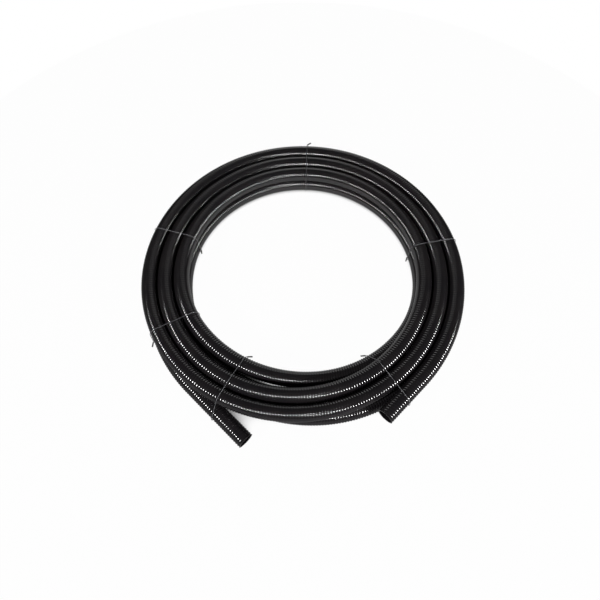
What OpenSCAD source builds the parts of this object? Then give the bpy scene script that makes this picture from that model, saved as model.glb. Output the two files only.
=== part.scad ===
// A coil of corrugated flexible conduit, lying flat and held by six wire ties.
// One conduit runs from its tail end, three turns inwards along the bottom layer, climbs to
// the top layer inside the eye and runs three turns outwards to its other end.
// The origin is the middle of the footprint, on the floor. +X is to the right, +Y to the back.
// The turns run left, back, right, front. Their back halves are concentric, and their front
// halves are centred half a pitch to one side, so each turn moves one place in or out.

/* [Conduit] */
// Outside diameter over the ribs
conduit_od = 32; // [25:0.5:40]
// Depth of the wall, from the tops of the ribs to the bore
wall = 3; // [1.5:0.25:5]

/* [Coil] */
// Radius of the outermost turn, at the middle of the conduit
outer_turn_r = 315; // [260:5:400]
// Clearance between neighbouring turns and layers
turn_gap = 0.4; // [0.3:0.1:2]

/* [Ends] */
// Angle that the tail follows the coil for, from the left, before it runs straight
tail_bend = 47; // [40:1:48]
// Length of the tail's straight stretch
tail_straight = 145; // [130:5:220]
// Angle that the top end follows the coil for, from the right, before it runs straight
end_bend = 46; // [40:1:48]
// Length of the top end's straight stretch
end_straight = 95; // [90:5:160]
// Length at each end that a coupler slides over, up to the groove that its latch drops into
coupler_reach = 30; // [20:1:40]

/* [Ties] */
// Diameter of the tie wire
wire_d = 1.2; // [0.8:0.1:2]
// Clearance between a tie and the conduit
wire_gap = 0.3; // [0.2:0.1:0.6]
// Diameter over the two twisted wires of a tie's end
twist_d = 2.4; // [2:0.1:4]
// Length of a tie's twisted end
twist_length = 10; // [8:1:24]
// Angle of the back tie around the coil, from the right
back_tie_angle = 88; // [80:1:100]
// Angle of the tie at the back left
back_left_tie_angle = 164; // [150:1:172]
// Angle of the tie at the front left, on the tail's bend
front_left_tie_angle = 207; // [200:1:212]
// Angle of the front tie, on the tail's straight stretch
front_tie_angle = 241; // [238:1:244]
// Angle of the tie at the front right, on the top end's straight stretch
front_right_tie_angle = 304; // [302:1:308]
// Angle of the tie at the back right
back_right_tie_angle = 11; // [5:1:30]

/* [Hidden] */

conduit_id = conduit_od - 2 * wall;
pitch = conduit_od + turn_gap;
turn_r = [outer_turn_r, outer_turn_r - pitch, outer_turn_r - 2 * pitch];
// The front halves' centres lie this far to one side of the axis
shift = pitch / 2;
low_z = wire_d + wire_gap + conduit_od / 2;
high_z = low_z + pitch;

// How far the tail reaches in front of the axis, and the back tie's wire behind it
front_reach = (outer_turn_r + shift + conduit_od / 2) * sin(tail_bend)
    + tail_straight * cos(tail_bend);
back_reach = outer_turn_r + conduit_od / 2 + wire_gap + wire_d;
// The coil's axis lies this far behind the middle of the footprint
axis_y = (front_reach - back_reach) / 2;

// The climb's first and last stretches lie flat and are centred this far to their own side,
// which bulges the climb into the eye, where it passes between the two layers
climb_shift = pitch;
climb_r = turn_r[2] - climb_shift;
// They turn through this angle, and a ramp tilted about the y axis joins them
climb_angle = 40;
foot_x = climb_shift + climb_r * cos(climb_angle);
foot_y = -climb_r * sin(climb_angle);
ramp_tilt = atan(shift / foot_x);
ramp_reach = foot_x / cos(ramp_tilt);
ramp_y = foot_y + ramp_reach * tan(climb_angle) / cos(ramp_tilt);
ramp_r = norm([ramp_reach, ramp_y - foot_y]);
// The ramp's wall is thinner by this much each side, and laps this far into the flat
// stretches, so that its slight change of slope leaves no gap
ramp_step = 0.2;
ramp_lap = 2;
// The straight ends stand this much proud of the turned runs, so that they meet cleanly
join_step = 0.05;
// The straight ends reach this far into the turned runs
join_lap = 1;
// The latch's groove is one of the grooves between the ribs
groove_width = 1.6;
groove_depth = wall / 3;
cut_over = 1;

// Height of the twisted end's foot above the middle of its wire
twist_stand = 0.5;
// The twisted end leans this far outwards for this far along the conduit
lean_out = 0.45;
lean_along = 0.8;
wire_sides = 8;
wire_ring_r = conduit_od / 2 + wire_gap + wire_d / 2;
arc_step = 15;
// Turns whose middles are this close to one line count as in line
line_tolerance = 0.01;

tube_sides = 48;
turn_sides = 240;
twist_sides = 12;

function unit(v) = v / norm(v);
function cross2(a, b) = a[0] * b[1] - a[1] * b[0];

// ---- conduit ----

module wall_section(step) {
    difference() {
        circle(d = conduit_od - 2 * step, $fn = tube_sides);
        circle(d = conduit_id + 2 * step, $fn = tube_sides);
    }
}

// A stretch of conduit turned about a centre at x, from one angle through a span
module turned_run(x, z, r, from, span)
    translate([x, 0, z])
        rotate_extrude(angle = span, start = from, $fn = turn_sides)
            translate([r, 0])
                wall_section(join_step);

// The outside of a straight end, with the groove for a coupler's latch
module straight_outside(length) {
    cylinder(d = conduit_od, h = length - coupler_reach - groove_width, $fn = tube_sides);
    cylinder(d = conduit_od - 2 * groove_depth, h = length, $fn = tube_sides);
    translate([0, 0, length - coupler_reach])
        cylinder(d = conduit_od, h = coupler_reach, $fn = tube_sides);
}

// A straight end that follows on from a turned run at an angle, clockwise (1) or not (-1)
module straight_end(x, z, r, angle, way, length)
    translate([x, 0, z])
        rotate([0, 0, angle])
            translate([r, way * join_lap, 0])
                rotate([way * 90, 0, 0])
                    difference() {
                        straight_outside(length + join_lap);
                        translate([0, 0, -cut_over])
                            cylinder(d = conduit_id, h = length + join_lap + 2 * cut_over,
                                $fn = tube_sides);
                    }

// The climb, from the innermost bottom turn at the right to the innermost top turn at the left
module climb() {
    turned_run(climb_shift, low_z, climb_r, 360 - climb_angle, climb_angle);
    start = atan2(ramp_y - foot_y, ramp_reach) - ramp_lap / ramp_r * 180 / PI;
    translate([0, 0, (low_z + high_z) / 2])
        rotate([0, ramp_tilt, 0])
            translate([0, ramp_y, 0])
                rotate_extrude(angle = 180 - 2 * start, start = 180 + start, $fn = turn_sides)
                    translate([ramp_r, 0])
                        wall_section(ramp_step);
    turned_run(-climb_shift, high_z, climb_r, 180, climb_angle);
}

module conduit() color("#1d1c1f") translate([0, axis_y, 0]) union() {
    // Back halves, both layers
    for (r = turn_r, z = [low_z, high_z])
        turned_run(0, z, r, 0, 180);
    // Front halves of the bottom layer, each one place further in
    for (i = [0, 1])
        turned_run(shift, low_z, turn_r[i] - shift, 180, 180);
    climb();
    // Front halves of the top layer, each one place further out
    for (i = [1, 2])
        turned_run(-shift, high_z, turn_r[i] + shift, 180, 180);
    // Tail, and the top end
    turned_run(shift, low_z, turn_r[0] + shift, 180, tail_bend);
    straight_end(shift, low_z, turn_r[0] + shift, 180 + tail_bend, -1, tail_straight);
    turned_run(-shift, high_z, turn_r[0] + shift, 360 - end_bend, end_bend);
    straight_end(-shift, high_z, turn_r[0] + shift, -end_bend, 1, end_straight);
}

// ---- ties ----

// Distance from the axis, at an angle, of a run turned about a centre at x
function run_distance(x, r, a) = x * cos(a) + sqrt(pow(r, 2) - pow(x * sin(a), 2));

// The same for a straight end, moved out to allow for its slant through the tie
function straight_distance(x, r, bend_angle, way, a) =
    let (start = [x + r * cos(bend_angle), r * sin(bend_angle)],
        heading = way * [sin(bend_angle), -cos(bend_angle)],
        ray = [cos(a), sin(a)],
        slant = abs(cross2(heading, ray)),
        along = -cross2(start, ray) / cross2(heading, ray))
    (start + along * heading) * ray + conduit_od / 2 * (1 / slant - 1);

// The climb's middle at an angle in the front half, on its flat stretches or its ramp
function climb_distance(a) =
    let (flat = run_distance(cos(a) > 0 ? climb_shift : -climb_shift, climb_r, a),
        wide = pow(cos(a) / cos(ramp_tilt), 2) + pow(sin(a), 2),
        half = ramp_y * sin(a),
        ramp = (half + sqrt(pow(half, 2) + wide * (pow(ramp_r, 2) - pow(ramp_y, 2)))) / wide)
    abs(flat * cos(a)) > foot_x ? flat : ramp;
function climb_height(a) =
    let (x = climb_distance(a) * cos(a))
    x > foot_x ? low_z : x < -foot_x ? high_z : (low_z + high_z) / 2 - x * tan(ramp_tilt);

function back_half(a) = a < 180;
function on_tail_bend(a) = a < 180 + tail_bend;
function on_top_end(a) = a > 270 && a < 360 - end_bend;

// Middles, as distance and height, of all the turns that a tie at an angle goes around
function turns_at(a) =
    back_half(a) ? [for (r = turn_r, z = [low_z, high_z]) [r, z]] :
    concat(
        [for (i = [0, 1]) [run_distance(shift, turn_r[i] - shift, a), low_z]],
        [for (i = [1, 2]) [run_distance(-shift, turn_r[i] + shift, a), high_z]],
        [[climb_distance(a), climb_height(a)]],
        on_tail_bend(a) ? [[run_distance(shift, turn_r[0] + shift, a), low_z]] : [],
        !on_tail_bend(a) && a < 270 ?
            [[straight_distance(shift, turn_r[0] + shift, 180 + tail_bend, -1, a), low_z]] : [],
        on_top_end(a) ?
            [[straight_distance(-shift, turn_r[0] + shift, -end_bend, 1, a), high_z]] : []);

// The points at the corners of a set, anticlockwise: each next one has all the rest on its
// left, and is the furthest of those in line with it
function is_next(from, best, p) =
    p != from && (best == from || cross2(best - from, p - from) < -line_tolerance ||
        (abs(cross2(best - from, p - from)) <= line_tolerance
            && norm(p - from) > norm(best - from)));
function next_corner(points, from, best, i) =
    i == len(points) ? best :
    next_corner(points, from, is_next(from, best, points[i]) ? points[i] : best, i + 1);
function corners_from(points, found) =
    let (from = found[len(found) - 1], next = next_corner(points, from, from, 0))
    next == found[0] || len(found) > len(points) ? found :
    corners_from(points, concat(found, [next]));
function first_corner(points) =
    let (low = min([for (p = points) p[1]]),
        near = min([for (p = points) if (p[1] == low) p[0]]))
    [for (p = points) if (p[1] == low && p[0] == near) p][0];
function corners(points) = corners_from(points, [first_corner(points)]);

function heading_angle(v) = atan2(v[1], v[0]);

// The tight wire's path around those corners: places and outward directions
function wire_path(c) =
    let (n = len(c))
    [for (i = [0:n - 1])
        let (in_angle = heading_angle(c[i] - c[(i + n - 1) % n]) - 90,
            turn = (heading_angle(c[(i + 1) % n] - c[i]) - 90 - in_angle + 720) % 360,
            steps = max(1, ceil(turn / arc_step)))
        for (k = [0:steps])
            let (b = in_angle + turn * k / steps, out = [cos(b), sin(b)])
            [c[i] + wire_ring_r * out, out]];

// Two triangles for each side between one ring of points and the next
function band(first, second, sides) =
    [for (i = [0:sides - 1], half = [0, 1])
        let (j = (i + 1) % sides)
        half == 0 ? [first + i, second + i, second + j] : [first + i, second + j, first + j]];

module closed_wire(path) {
    n = wire_sides;
    count = len(path);
    points = [for (p = path, i = [0:n - 1])
        let (b = 360 * i / n, at = p[0] + wire_d / 2 * cos(b) * p[1])
        [at[0], wire_d / 2 * sin(b), at[1]]];
    faces = [for (k = [0:count - 1]) each band(n * k, n * ((k + 1) % count), n)];
    polyhedron(points, faces);
}

// The twisted end stands off the loop, leaning along the conduit one way (1) or the other (-1)
module twisted_end(root, out, way) {
    lean = unit([lean_out * out[0], lean_along * way, lean_out * out[1]]);
    translate([root[0], 0, root[1]] + twist_stand * [out[0], 0, out[1]])
        rotate([0, acos(lean[2]), atan2(lean[1], lean[0])])
            cylinder(d = twist_d, h = twist_length, $fn = twist_sides);
}

// A wire tie at an angle around the coil. Its end is twisted outside (1) or in the eye (-1),
// at an angle up from the level, and leans anticlockwise (1) or clockwise (-1)
module tie(a, side, up, way) {
    path = wire_path(corners(turns_at(a)));
    want = [side * cos(up), sin(up)];
    best = max([for (p = path) p[1] * want]);
    root = [for (p = path) if (p[1] * want == best) p][0];
    color("#56565a") translate([0, axis_y, 0]) rotate([0, 0, a]) union() {
        closed_wire(path);
        twisted_end(root[0], root[1], way);
    }
}

module tie_back() tie(back_tie_angle, 1, 45, -1);
module tie_back_left() tie(back_left_tie_angle, -1, 0, 1);
module tie_front_left() tie(front_left_tie_angle, 1, 0, 1);
module tie_front() tie(front_tie_angle, -1, 0, 1);
module tie_front_right() tie(front_right_tie_angle, -1, 0, -1);
module tie_back_right() tie(back_right_tie_angle, -1, 0, -1);

conduit();
tie_back();
tie_back_left();
tie_front_left();
tie_front();
tie_front_right();
tie_back_right();
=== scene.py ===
import math

import bpy
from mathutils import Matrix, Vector


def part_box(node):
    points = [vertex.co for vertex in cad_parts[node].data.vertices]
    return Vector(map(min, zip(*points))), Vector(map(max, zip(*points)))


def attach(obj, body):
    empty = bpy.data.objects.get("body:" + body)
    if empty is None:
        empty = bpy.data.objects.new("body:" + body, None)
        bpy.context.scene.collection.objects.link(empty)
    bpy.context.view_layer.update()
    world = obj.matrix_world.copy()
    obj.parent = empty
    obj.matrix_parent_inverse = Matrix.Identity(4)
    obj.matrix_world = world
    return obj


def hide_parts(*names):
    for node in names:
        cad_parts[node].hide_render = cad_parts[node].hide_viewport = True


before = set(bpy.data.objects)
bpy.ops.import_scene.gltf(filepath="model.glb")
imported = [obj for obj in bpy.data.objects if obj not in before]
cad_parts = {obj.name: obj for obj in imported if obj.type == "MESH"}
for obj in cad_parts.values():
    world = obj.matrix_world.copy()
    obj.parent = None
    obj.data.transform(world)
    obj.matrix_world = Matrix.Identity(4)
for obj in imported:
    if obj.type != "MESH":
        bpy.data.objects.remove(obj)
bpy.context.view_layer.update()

# A coil of black corrugated conduit with six wire ties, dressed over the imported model.
# Lengths are in metres and angles in degrees, anticlockwise round the coil from the right.

coil = {
    "outerTurn": 0.315,         # radius of the outermost turn, at the middle of the conduit
    "turns": 3,                 # in each layer
    "gap": 0.0004,              # between neighbouring turns and layers
    "tailBend": 47,             # how far the tail follows the coil before it runs straight
    "tailStraight": 0.145,
    "tailSteps": 30,
    "endBend": 46,              # the same for the top end
    "endStraight": 0.095,
    "endSteps": 24,
    "climbShift": 1.0,          # how far the climb bulges into the eye, in pitches
    "climbAngle": 40,           # what the climb turns through before and after its ramp
    "step": 1.0,                # between the points of a bend
    "nearest": 0.0001,          # points of the route closer than this are one
}

conduit = {
    "outside": 0.032,           # diameter over the ribs
    "bore": 0.026,
    "boreDepth": 0.2,           # how far the open bore runs in from each end
    "boreSteps": 10,
    "ribPitch": 0.0051,         # made slightly smaller or larger, to fit a whole number of ribs
    "grooveDepth": 0.00125,
    "sides": 24,
    "sharpEdge": 70,            # only the cut ends' edges turn more than this
    "ringSlack": 0.0001,        # how far rounding may move a ring along ten metres of tube
}

wire = {
    "diameter": 0.0012,
    "gap": 0.0003,              # between a tie and the conduit
    "cornerStep": 7.5,
    "sides": 8,
    "twistLength": 0.010,
    "twistDiameter": 0.0017,    # of each of the two strands that are wrung together
    "strandGap": 0.00002,       # between the two, so that their meshes stay apart
    "twistPitch": 0.0048,       # one full turn of the two strands round each other
    "twistSteps": 20,
    "twistStand": 0.0009,       # the twist's foot, off the middle of its wire
    "leanOut": 0.45,            # how far a twist points away from the conduit, against
    "leanAlong": 0.8,           # how far it points along it
    "sharpEdge": 60,
}

# for each tie its angle round the coil, whether its twist is outside (1) or in the eye (-1), how
# high that sits round the turn, and whether it points anticlockwise (1) or clockwise (-1)
ties = {
    "tie_back": (88, 1, 45, -1),
    "tie_back_left": (164, -1, 0, 1),
    "tie_front_left": (207, 1, 0, 1),
    "tie_front": (241, -1, 0, 1),
    "tie_front_right": (304, -1, 0, -1),
    "tie_back_right": (11, -1, 0, -1),
}

conduitLow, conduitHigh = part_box("conduit")
tubeRadius = conduit["outside"] / 2
turnPitch = conduit["outside"] + coil["gap"]
axis = Vector((0, conduitHigh.y - coil["outerTurn"] - tubeRadius, 0))
lowZ = conduitLow.z + tubeRadius
highZ = conduitHigh.z - tubeRadius
samePlace = 1e-5                # points closer than this meet
weldDistance = 1e-6


def only(piece):
    bpy.ops.object.select_all(action="DESELECT")
    piece.select_set(True)
    bpy.context.view_layer.objects.active = piece


def applied(piece, kind, **settings):
    modifier = piece.modifiers.new(kind.lower(), kind)
    for name, value in settings.items():
        setattr(modifier, name, value)
    only(piece)
    bpy.ops.object.modifier_apply(modifier=modifier.name)


def selectPoints(piece, wanted):
    # only the points at these places, with the edges between them
    mesh = piece.data
    chosen = [wanted(point.co) for point in mesh.vertices]
    mesh.vertices.foreach_set("select", chosen)
    mesh.edges.foreach_set("select", [all(chosen[i] for i in edge.vertices) for edge in mesh.edges])
    mesh.polygons.foreach_set("select", [False] * len(mesh.polygons))
    only(piece)
    bpy.ops.object.mode_set(mode="EDIT")


def extrudeAlong(x, y, z):
    bpy.ops.mesh.extrude_region_move(TRANSFORM_OT_translate={"value": (x, y, z)})


def closeUp(piece, angle):
    only(piece)
    bpy.ops.object.mode_set(mode="EDIT")
    bpy.ops.mesh.select_all(action="SELECT")
    bpy.ops.mesh.remove_doubles(threshold=weldDistance)
    bpy.ops.mesh.normals_make_consistent(inside=False)
    bpy.ops.object.mode_set(mode="OBJECT")
    bpy.ops.object.shade_smooth_by_angle(angle=math.radians(angle))


def arc(x, y, radius, start, end, z):
    count = math.ceil(abs(end - start) / coil["step"])
    angles = [math.radians(start + (end - start) * i / count) for i in range(count + 1)]
    return [Vector((x + radius * math.cos(a), y + radius * math.sin(a), z)) for a in angles]


def climb(radius):
    # a flat stretch at each end, and between them a ramp that is an arc tilted about the y axis
    shift = coil["climbShift"] * turnPitch
    radius = radius - shift
    turn = math.radians(coil["climbAngle"])
    footX, footY = shift + radius * math.cos(turn), -radius * math.sin(turn)
    tilt = math.atan2((highZ - lowZ) / 2, footX)
    reach = footX / math.cos(tilt)
    rampY = footY + reach * math.tan(turn) / math.cos(tilt)
    rampRadius = math.hypot(reach, rampY - footY)
    half = math.degrees(math.atan2(reach, rampY - footY))
    ramp = [Vector((p.x * math.cos(tilt), p.y, (lowZ + highZ) / 2 - p.x * math.sin(tilt)))
            for p in arc(0, rampY, rampRadius, 270 + half, 270 - half, 0)]
    return (arc(shift, 0, radius, 360, 360 - coil["climbAngle"], lowZ) + ramp
            + arc(-shift, 0, radius, 180 + coil["climbAngle"], 180, highZ))


def layRoute():
    # from the tail inwards along the bottom layer, up, and outwards along the top layer
    shift = turnPitch / 2
    radii = [coil["outerTurn"] - i * turnPitch for i in range(coil["turns"])]
    outer = radii[0] + shift
    route = arc(shift, 0, outer, 180 + coil["tailBend"], 180, lowZ)
    for i, radius in enumerate(radii):
        route += arc(0, 0, radius, 180, 0, lowZ)
        if i < coil["turns"] - 1:
            route += arc(shift, 0, radius - shift, 360, 180, lowZ)
    route += climb(radii[-1])
    for i, radius in reversed(list(enumerate(radii))):
        route += arc(0, 0, radius, 180, 0, highZ)
        if i > 0:
            route += arc(-shift, 0, radius + shift, 360, 180, highZ)
    route += arc(-shift, 0, outer, 360, 360 - coil["endBend"], highZ)
    tailTurn, endTurn = math.radians(180 + coil["tailBend"]), math.radians(360 - coil["endBend"])
    tailWay = Vector((-math.sin(tailTurn), math.cos(tailTurn), 0))
    endWay = Vector((math.sin(endTurn), -math.cos(endTurn), 0))
    tailSteps, endSteps = coil["tailSteps"], coil["endSteps"]
    tail = [route[0] + tailWay * coil["tailStraight"] * (1 - i / tailSteps) for i in range(tailSteps)]
    end = [route[-1] + endWay * coil["endStraight"] * i / endSteps for i in range(1, endSteps + 1)]
    route = tail + route + end
    kept = [route[0]]
    for point in route[1:]:
        if (point - kept[-1]).length > coil["nearest"]:
            kept.append(point)
    return kept


def startFinish(name):
    material = bpy.data.materials.new(name)
    material.use_nodes = True
    nodes, links = material.node_tree.nodes, material.node_tree.links
    shader = nodes["Principled BSDF"]
    place = nodes.new("ShaderNodeTexCoord").outputs["Object"]
    return material, nodes, links, shader, place


def addNoise(nodes, links, place, scale, detail):
    noise = nodes.new("ShaderNodeTexNoise")
    noise.inputs["Scale"].default_value = scale
    noise.inputs["Detail"].default_value = detail
    links.new(place, noise.inputs["Vector"])
    return noise.outputs["Fac"]


def addRange(nodes, links, value, low, high, toLow, toHigh):
    fit = nodes.new("ShaderNodeMapRange")
    for socket, number in zip(("From Min", "From Max", "To Min", "To Max"), (low, high, toLow, toHigh)):
        fit.inputs[socket].default_value = number
    links.new(value, fit.inputs["Value"])
    return fit.outputs["Result"]


def addSpots(nodes, links, place, spots):
    scale, detail, low, high, most = spots
    return addRange(nodes, links, addNoise(nodes, links, place, scale, detail), low, high, 0, most)


def addMath(nodes, links, operation, first, second):
    maths = nodes.new("ShaderNodeMath")
    maths.operation = operation
    links.new(first, maths.inputs[0])
    links.new(second, maths.inputs[1])
    return maths.outputs["Value"]


def addTimes(nodes, links, first, second):
    return addMath(nodes, links, "MULTIPLY", first, second)


def addLarger(nodes, links, first, second):
    return addMath(nodes, links, "MAXIMUM", first, second)


def addBlend(nodes, links, amount, first, second):
    blend = nodes.new("ShaderNodeMix")
    blend.data_type = "RGBA"
    links.new(amount, blend.inputs["Factor"])
    for socket, colour in (("A", first), ("B", second)):
        target = [s for s in blend.inputs if s.name == socket and s.type == "RGBA"][0]
        if isinstance(colour, tuple):
            target.default_value = (*colour, 1)
        else:
            links.new(colour, target)
    return [s for s in blend.outputs if s.type == "RGBA"][0]


def addGrain(nodes, links, place, shader, grain):
    scale, detail, strength, height = grain
    bump = nodes.new("ShaderNodeBump")
    bump.inputs["Strength"].default_value = strength
    bump.inputs["Distance"].default_value = height
    links.new(addNoise(nodes, links, place, scale, detail), bump.inputs["Height"])
    links.new(bump.outputs["Normal"], shader.inputs["Normal"])


# a finish's spots are a noise's scale and detail, the values where they start and are full, and
# how strong they get; its grain is a noise's scale and detail, the bump's strength and its height
plastic = {
    "black": (0.005, 0.0044, 0.0052),
    "warm": (0.0068, 0.0058, 0.0064),
    "scuff": (0.014, 0.013, 0.0135),
    "dust": (0.010, 0.0092, 0.0088),
    "patches": (14, 3, 0.4, 0.62, 1),
    "dustSpots": (45, 4, 0.45, 0.7, 0.6),
    "scuffSpots": (130, 5, 0.6, 0.74, 0.5),
    "gloss": 0.5,               # specular level
    "rimGloss": 0.06,           # the same at a tube's rim
    "rim": (0.2, 0.7),          # how far a face turns from the eye where that starts and is full
    "smooth": 0.15,             # roughness where it is shiniest
    "dull": 0.2,
    "sheen": (70, 3, 0.35, 0.65, 1),
    "grain": (900, 3, 0.1, 0.00003),
}

steel = {
    "bright": (0.11, 0.11, 0.115),
    "grey": (0.045, 0.045, 0.05),
    # the twisted ends' colour is a painted shade, far darker than the bands of the same wire
    "twistShade": (0.012, 0.0115, 0.012),    # where the ends are twisted together
    "spangle": (260, 4, 0.38, 0.62, 1),
    "metal": 0.4,
    "smooth": 0.32,
    "dull": 0.55,
    "grain": (1600, 2, 0.2, 0.0001),
}


def blackPlastic():
    material, nodes, links, shader, place = startFinish("black conduit plastic")
    top = nodes.new("ShaderNodeAttribute")
    top.attribute_name = "ribTop"
    top = top.outputs["Fac"]
    groove = addRange(nodes, links, top, 0, 1, 1, 0)
    patches = addSpots(nodes, links, place, plastic["patches"])
    colour = addBlend(nodes, links, patches, plastic["black"], plastic["warm"])
    dust = addTimes(nodes, links, addSpots(nodes, links, place, plastic["dustSpots"]), groove)
    colour = addBlend(nodes, links, dust, colour, plastic["dust"])
    scuffs = addTimes(nodes, links, addSpots(nodes, links, place, plastic["scuffSpots"]), top)
    colour = addBlend(nodes, links, scuffs, colour, plastic["scuff"])
    links.new(colour, shader.inputs["Base Color"])
    sheen = addSpots(nodes, links, place, plastic["sheen"])
    sheen = addRange(nodes, links, sheen, 0, 1, plastic["smooth"], plastic["dull"])
    links.new(sheen, shader.inputs["Roughness"])
    rim = nodes.new("ShaderNodeLayerWeight").outputs["Facing"]
    gloss = addRange(nodes, links, rim, *plastic["rim"], plastic["gloss"], plastic["rimGloss"])
    links.new(gloss, shader.inputs["Specular IOR Level"])
    addGrain(nodes, links, place, shader, plastic["grain"])
    return material


def galvanisedWire():
    material, nodes, links, shader, place = startFinish("galvanised wire")
    spangle = addSpots(nodes, links, place, steel["spangle"])
    twistShade = nodes.new("ShaderNodeAttribute")
    twistShade.attribute_name = "twistShade"
    colour = addBlend(nodes, links, spangle, steel["bright"], steel["grey"])
    # the twisted ends take a painted shade
    colour = addBlend(nodes, links, twistShade.outputs["Fac"], colour, steel["twistShade"])
    links.new(colour, shader.inputs["Base Color"])
    sheen = addRange(nodes, links, spangle, 0, 1, steel["smooth"], steel["dull"])
    links.new(sheen, shader.inputs["Roughness"])
    shader.inputs["Metallic"].default_value = steel["metal"]
    addGrain(nodes, links, place, shader, steel["grain"])
    return material


def shapeRib(pitch):
    # from the top of one rib to the next along the x axis, rounded over the tops and sharp
    # along the bottom of the groove
    bottom = pitch / 2
    bpy.ops.object.select_all(action="DESELECT")
    bpy.ops.mesh.primitive_circle_add(vertices=conduit["sides"], radius=tubeRadius,
                                      rotation=(0, math.radians(90), 0))
    rib = bpy.context.object
    bpy.ops.object.transform_apply(location=True, rotation=True, scale=True)
    bpy.ops.object.mode_set(mode="EDIT")
    bpy.ops.mesh.select_all(action="SELECT")
    inwards = 1 - conduit["grooveDepth"] / tubeRadius
    extrudeAlong(bottom, 0, 0)
    bpy.ops.transform.resize(value=(1, inwards, inwards), center_override=(bottom, 0, 0))
    extrudeAlong(bottom, 0, 0)
    bpy.ops.transform.resize(value=(1, 1 / inwards, 1 / inwards), center_override=(pitch, 0, 0))
    bpy.ops.object.mode_set(mode="OBJECT")
    selectPoints(rib, lambda place: abs(place.x - bottom) < samePlace)
    bpy.ops.mesh.mark_sharp()
    bpy.ops.object.mode_set(mode="OBJECT")
    mark = rib.data.attributes.new("ribTop", "FLOAT", "POINT")
    mark.data.foreach_set("value", [float(abs(v.co.x - bottom) > samePlace) for v in rib.data.vertices])
    return rib


def openEnd(tube, way):
    # the cut face, then the bore's wall, to a closed end far inside
    x = way * min(way * point.co.x for point in tube.data.vertices)
    selectPoints(tube, lambda place: abs(place.x - x) < conduit["ringSlack"])
    narrow = conduit["bore"] / conduit["outside"]
    extrudeAlong(0, 0, 0)
    bpy.ops.transform.resize(value=(1, narrow, narrow), center_override=(x, 0, 0))
    for _ in range(conduit["boreSteps"]):
        extrudeAlong(way * conduit["boreDepth"] / conduit["boreSteps"], 0, 0)
    bpy.ops.mesh.edge_face_add()
    bpy.ops.object.mode_set(mode="OBJECT")


def makeConduit(route, finish):
    length = sum((b - a).length for a, b in zip(route, route[1:]))
    ribs = round(length / conduit["ribPitch"])
    pitch = length / ribs
    tube = shapeRib(pitch)
    applied(tube, "ARRAY", use_relative_offset=False, use_constant_offset=True,
            constant_offset_displace=(pitch, 0, 0), count=ribs,
            use_merge_vertices=True, merge_threshold=samePlace)
    openEnd(tube, 1)
    openEnd(tube, -1)
    guide = bpy.data.objects.new("guide", bpy.data.curves.new("guide", "CURVE"))
    guide.data.dimensions = "3D"
    guide.data.twist_mode = "Z_UP"
    line = guide.data.splines.new("POLY")
    line.points.add(len(route) - 1)
    for point, spot in zip(line.points, route):
        point.co = (*(spot + axis), 1)
    bpy.context.scene.collection.objects.link(guide)
    applied(tube, "CURVE", object=guide, deform_axis="POS_X")
    bpy.data.objects.remove(guide)
    closeUp(tube, conduit["sharpEdge"])
    tube.name = "corrugated_conduit"
    tube.data.materials.append(finish)
    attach(tube, "root")
    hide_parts("conduit")
    print(f"conduit: {ribs} ribs, {pitch * 1000:.3f} mm apart, {length:.3f} m")


def crossings(route, angle):
    # distance from the axis and height of every turn that the tie's upright plane cuts
    out = Vector((math.cos(math.radians(angle)), math.sin(math.radians(angle))))
    found = []
    for first, second in zip(route, route[1:]):
        before, after = out.cross(first.xy), out.cross(second.xy)
        if (before > 0) == (after > 0):
            continue
        middle = first.lerp(second, before / (before - after))
        if middle.xy.dot(out) > 0:
            slant = abs(out.cross((second - first).xy.normalized()))
            found.append(Vector((middle.xy.dot(out) + tubeRadius * (1 / slant - 1), middle.z)))
    return found


def cornersOf(points):
    # the outermost ones, anticlockwise from the lowest; places are sorted to a micrometre, so
    # that the turns of one layer count as level
    straight = 1e-8             # a corner that turns less than this isn't one
    decimals = 6

    def side(line):
        kept = []
        for point in line:
            while len(kept) > 1 and (kept[-1] - kept[-2]).cross(point - kept[-1]) < straight:
                kept.pop()
            kept.append(point)
        return kept[:-1]

    upwards = sorted(points, key=lambda p: (round(p.y, decimals), round(p.x, decimals)))
    return side(upwards) + side(upwards[::-1])


def tightLoop(corners):
    # the wire's path round the corners, as places and outward directions
    ring = tubeRadius + wire["gap"] + wire["diameter"] / 2
    path = []
    for i, corner in enumerate(corners):
        ahead, behind = corners[(i + 1) % len(corners)] - corner, corner - corners[i - 1]
        start = math.atan2(behind.y, behind.x) - math.pi / 2
        turn = (math.atan2(ahead.y, ahead.x) - math.pi / 2 - start) % (2 * math.pi)
        count = max(1, math.ceil(math.degrees(turn) / wire["cornerStep"]))
        for k in range(count + 1):
            bearing = start + turn * k / count
            out = Vector((math.cos(bearing), math.sin(bearing)))
            path.append((corner + ring * out, out))
    return path


def twistPair():
    # two strands side by side along z, wrung round each other
    radius = wire["twistDiameter"] / 2
    step = wire["twistLength"] / wire["twistSteps"]
    bpy.ops.object.select_all(action="DESELECT")
    bpy.ops.mesh.primitive_circle_add(vertices=wire["sides"], radius=radius, fill_type="NGON",
                                      location=(radius + wire["strandGap"] / 2, 0, 0))
    pair = bpy.context.object
    bpy.ops.object.transform_apply(location=True, rotation=True, scale=True)
    bpy.ops.object.mode_set(mode="EDIT")
    bpy.ops.mesh.select_all(action="SELECT")
    for _ in range(wire["twistSteps"]):
        extrudeAlong(0, 0, step)
    bpy.ops.mesh.select_all(action="SELECT")
    bpy.ops.mesh.duplicate()
    bpy.ops.transform.translate(value=(-2 * radius - wire["strandGap"], 0, 0))
    bpy.ops.object.mode_set(mode="OBJECT")
    turns = wire["twistLength"] / wire["twistPitch"]
    applied(pair, "SIMPLE_DEFORM", deform_method="TWIST", deform_axis="Z",
            angle=2 * math.pi * turns)
    # marks the whole twist for the painted shade in the wire's finish
    mark = pair.data.attributes.new("twistShade", "FLOAT", "POINT")
    mark.data.foreach_set("value", [1.0] * len(pair.data.vertices))
    return pair


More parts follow.
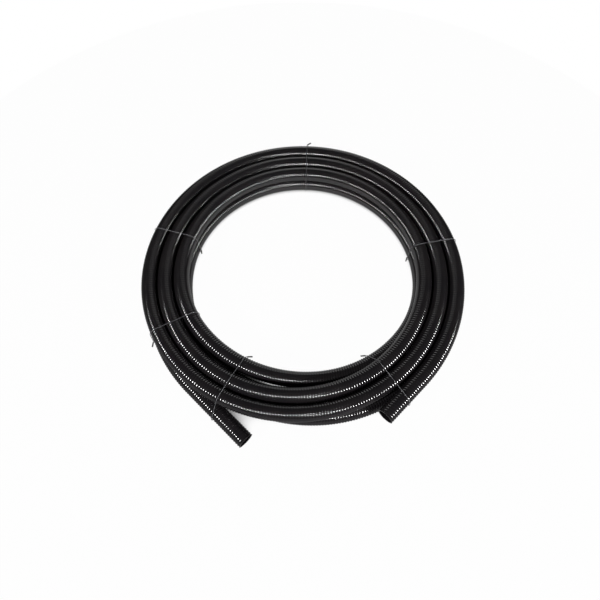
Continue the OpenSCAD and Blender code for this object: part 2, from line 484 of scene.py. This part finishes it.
def makeTie(name, route, finish):
    # a closed loop, and the twist on it at the first place that faces the way it should
    decimals = 5
    angle, side, rise, lean = ties[name]
    out = Vector((math.cos(math.radians(angle)), math.sin(math.radians(angle)), 0))
    along = Vector((-out.y, out.x, 0))
    path = tightLoop(cornersOf(crossings(route, angle)))
    loop = bpy.data.objects.new(name + "_wire", bpy.data.curves.new(name, "CURVE"))
    loop.data.dimensions = "3D"
    loop.data.bevel_depth = wire["diameter"] / 2
    loop.data.bevel_resolution = wire["sides"] // 4
    line = loop.data.splines.new("POLY")
    line.points.add(len(path) - 1)
    line.use_cyclic_u = True
    for point, (spot, _) in zip(line.points, path):
        point.co = (*(axis + out * spot.x + Vector((0, 0, spot.y))), 1)
    bpy.context.scene.collection.objects.link(loop)
    only(loop)
    bpy.ops.object.convert(target="MESH")
    loop = bpy.context.object
    want = Vector((side * math.cos(math.radians(rise)), math.sin(math.radians(rise))))
    spot, facing = max(path, key=lambda place: round(place[1].dot(want), decimals))
    standing = out * facing.x + Vector((0, 0, facing.y))
    foot = axis + out * spot.x + Vector((0, 0, spot.y)) + wire["twistStand"] * standing
    pair = twistPair()
    pair.rotation_mode = "QUATERNION"
    way = wire["leanOut"] * standing + wire["leanAlong"] * lean * along
    pair.rotation_quaternion = way.to_track_quat("Z", "Y")
    pair.location = foot
    only(pair)
    bpy.ops.object.transform_apply(location=True, rotation=True, scale=True)
    loop.select_set(True)
    bpy.context.view_layer.objects.active = loop
    bpy.ops.object.join()
    closeUp(loop, wire["sharpEdge"])
    loop.data.materials.clear()
    loop.data.materials.append(finish)
    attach(loop, "root")
    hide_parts(name)


studio = {
    "floor": (0.25, 0.25, 0.25),
    "floorSize": 12,
    "shadow": 0.02,             # how much of the floor's own shading shows
    "nearby": 0.05,             # how far round the coil the floor counts as covered by it
    "covered": (0.1, 0.4),      # the openness where its shade is full, and where it ends
    "pool": (0.2, 0.34),        # where the floor's white starts and stops fading in reflections
    "poolCentre": (0, 0.01, 0),
    "outskirts": (0.4, 1.0),    # where the floor's shade starts to fade to white, and where it ends
    "world": 0.062,             # what lights the object, where 1 is white
    # power in watts, size, azimuth from the front, height angle and distance of each lamp
    "lamps": {
        "left spot": (47, 0.2, -49, 34, 2.0),
        "right spot": (43, 0.2, 51, 22, 1.8),
        "back wall": (14, 1.4, 180, 14, 2.0),
    },
}

camera = {
    "aim": Vector((-0.0057, -0.0665, 0.0337)),      # from the coil's axis
    "height": 64.39,            # angle above the level
    "distance": 0.896,
    "lens": 26.30,
}


def whiteToEye(nodes, links, pool):
    # 1 for what the camera sees directly, and the pool of light where it sees the floor in a
    # reflection or through something clear
    rays = nodes.new("ShaderNodeLightPath")
    indirect = addLarger(nodes, links, rays.outputs["Is Glossy Ray"], rays.outputs["Is Transmission Ray"])
    return addLarger(nodes, links, rays.outputs["Is Camera Ray"], addTimes(nodes, links, indirect, pool))


def layFloor():
    bpy.ops.object.select_all(action="DESELECT")
    bpy.ops.mesh.primitive_plane_add(size=studio["floorSize"], location=(0, 0, 0))
    floor = bpy.context.object
    floor.name = "floor"
    material = bpy.data.materials.new("pale floor")
    material.use_nodes = True
    nodes, links = material.node_tree.nodes, material.node_tree.links
    nodes.clear()
    plain = nodes.new("ShaderNodeBsdfDiffuse")
    plain.inputs["Color"].default_value = (*studio["floor"], 1)
    glow = nodes.new("ShaderNodeEmission")
    mix = nodes.new("ShaderNodeMixShader")
    away = nodes.new("ShaderNodeVectorMath")
    away.operation = "DISTANCE"
    away.inputs[1].default_value = studio["poolCentre"]
    links.new(nodes.new("ShaderNodeTexCoord").outputs["Object"], away.inputs[0])
    pool = addRange(nodes, links, away.outputs["Value"], *studio["pool"], 1, 0)
    share = addRange(nodes, links, whiteToEye(nodes, links, pool), 0, 1, 0, 1 - studio["shadow"])
    around = nodes.new("ShaderNodeAmbientOcclusion")
    around.inputs["Distance"].default_value = studio["nearby"]
    openness = addRange(nodes, links, around.outputs["AO"], *studio["covered"], 0, 1)
    far = addRange(nodes, links, away.outputs["Value"], *studio["outskirts"], 0, 1)
    seen = nodes.new("ShaderNodeLightPath").outputs["Is Camera Ray"]
    white = addLarger(nodes, links, addTimes(nodes, links, share, openness),
                      addTimes(nodes, links, far, seen))
    links.new(white, mix.inputs["Fac"])
    links.new(plain.outputs["BSDF"], mix.inputs[1])
    links.new(glow.outputs["Emission"], mix.inputs[2])
    links.new(mix.outputs["Shader"], nodes.new("ShaderNodeOutputMaterial").inputs["Surface"])
    floor.data.materials.append(material)


def lightStudio():
    world = bpy.data.worlds.new("studio")
    bpy.context.scene.world = world
    world.use_nodes = True
    nodes, links = world.node_tree.nodes, world.node_tree.links
    level = addRange(nodes, links, nodes.new("ShaderNodeLightPath").outputs["Is Camera Ray"],
                     0, 1, studio["world"], 1)
    nodes["Background"].inputs["Color"].default_value = (1, 1, 1, 1)
    links.new(level, nodes["Background"].inputs["Strength"])
    for name, (power, size, turn, height, distance) in studio["lamps"].items():
        lamp = bpy.data.objects.new(name, bpy.data.lights.new(name, "AREA"))
        lamp.data.energy = power
        lamp.data.size = size
        turn, height = math.radians(turn), math.radians(height)
        way = Vector((math.sin(turn) * math.cos(height), -math.cos(turn) * math.cos(height),
                      math.sin(height)))
        lamp.location = way * distance
        lamp.rotation_euler = way.to_track_quat("Z", "Y").to_euler()
        bpy.context.scene.collection.objects.link(lamp)


def placeCamera():
    eye = bpy.data.objects.new("camera", bpy.data.cameras.new("camera"))
    eye.data.lens = camera["lens"]
    height = math.radians(camera["height"])
    back = Vector((0, -math.cos(height), math.sin(height)))
    eye.location = axis + camera["aim"] + back * camera["distance"]
    eye.rotation_euler = (math.pi / 2 - height, 0, 0)
    bpy.context.scene.collection.objects.link(eye)
    bpy.context.scene.camera = eye


placeCamera()
route = layRoute()
print(f"route: {len(route)} points")
makeConduit(route, blackPlastic())
wireFinish = galvanisedWire()
for tieName in ties:
    makeTie(tieName, route, wireFinish)
print("ties: all round the coil")
layFloor()
lightStudio()
bpy.context.scene.view_settings.view_transform = "Standard"
print("studio: floor, lamps and camera")
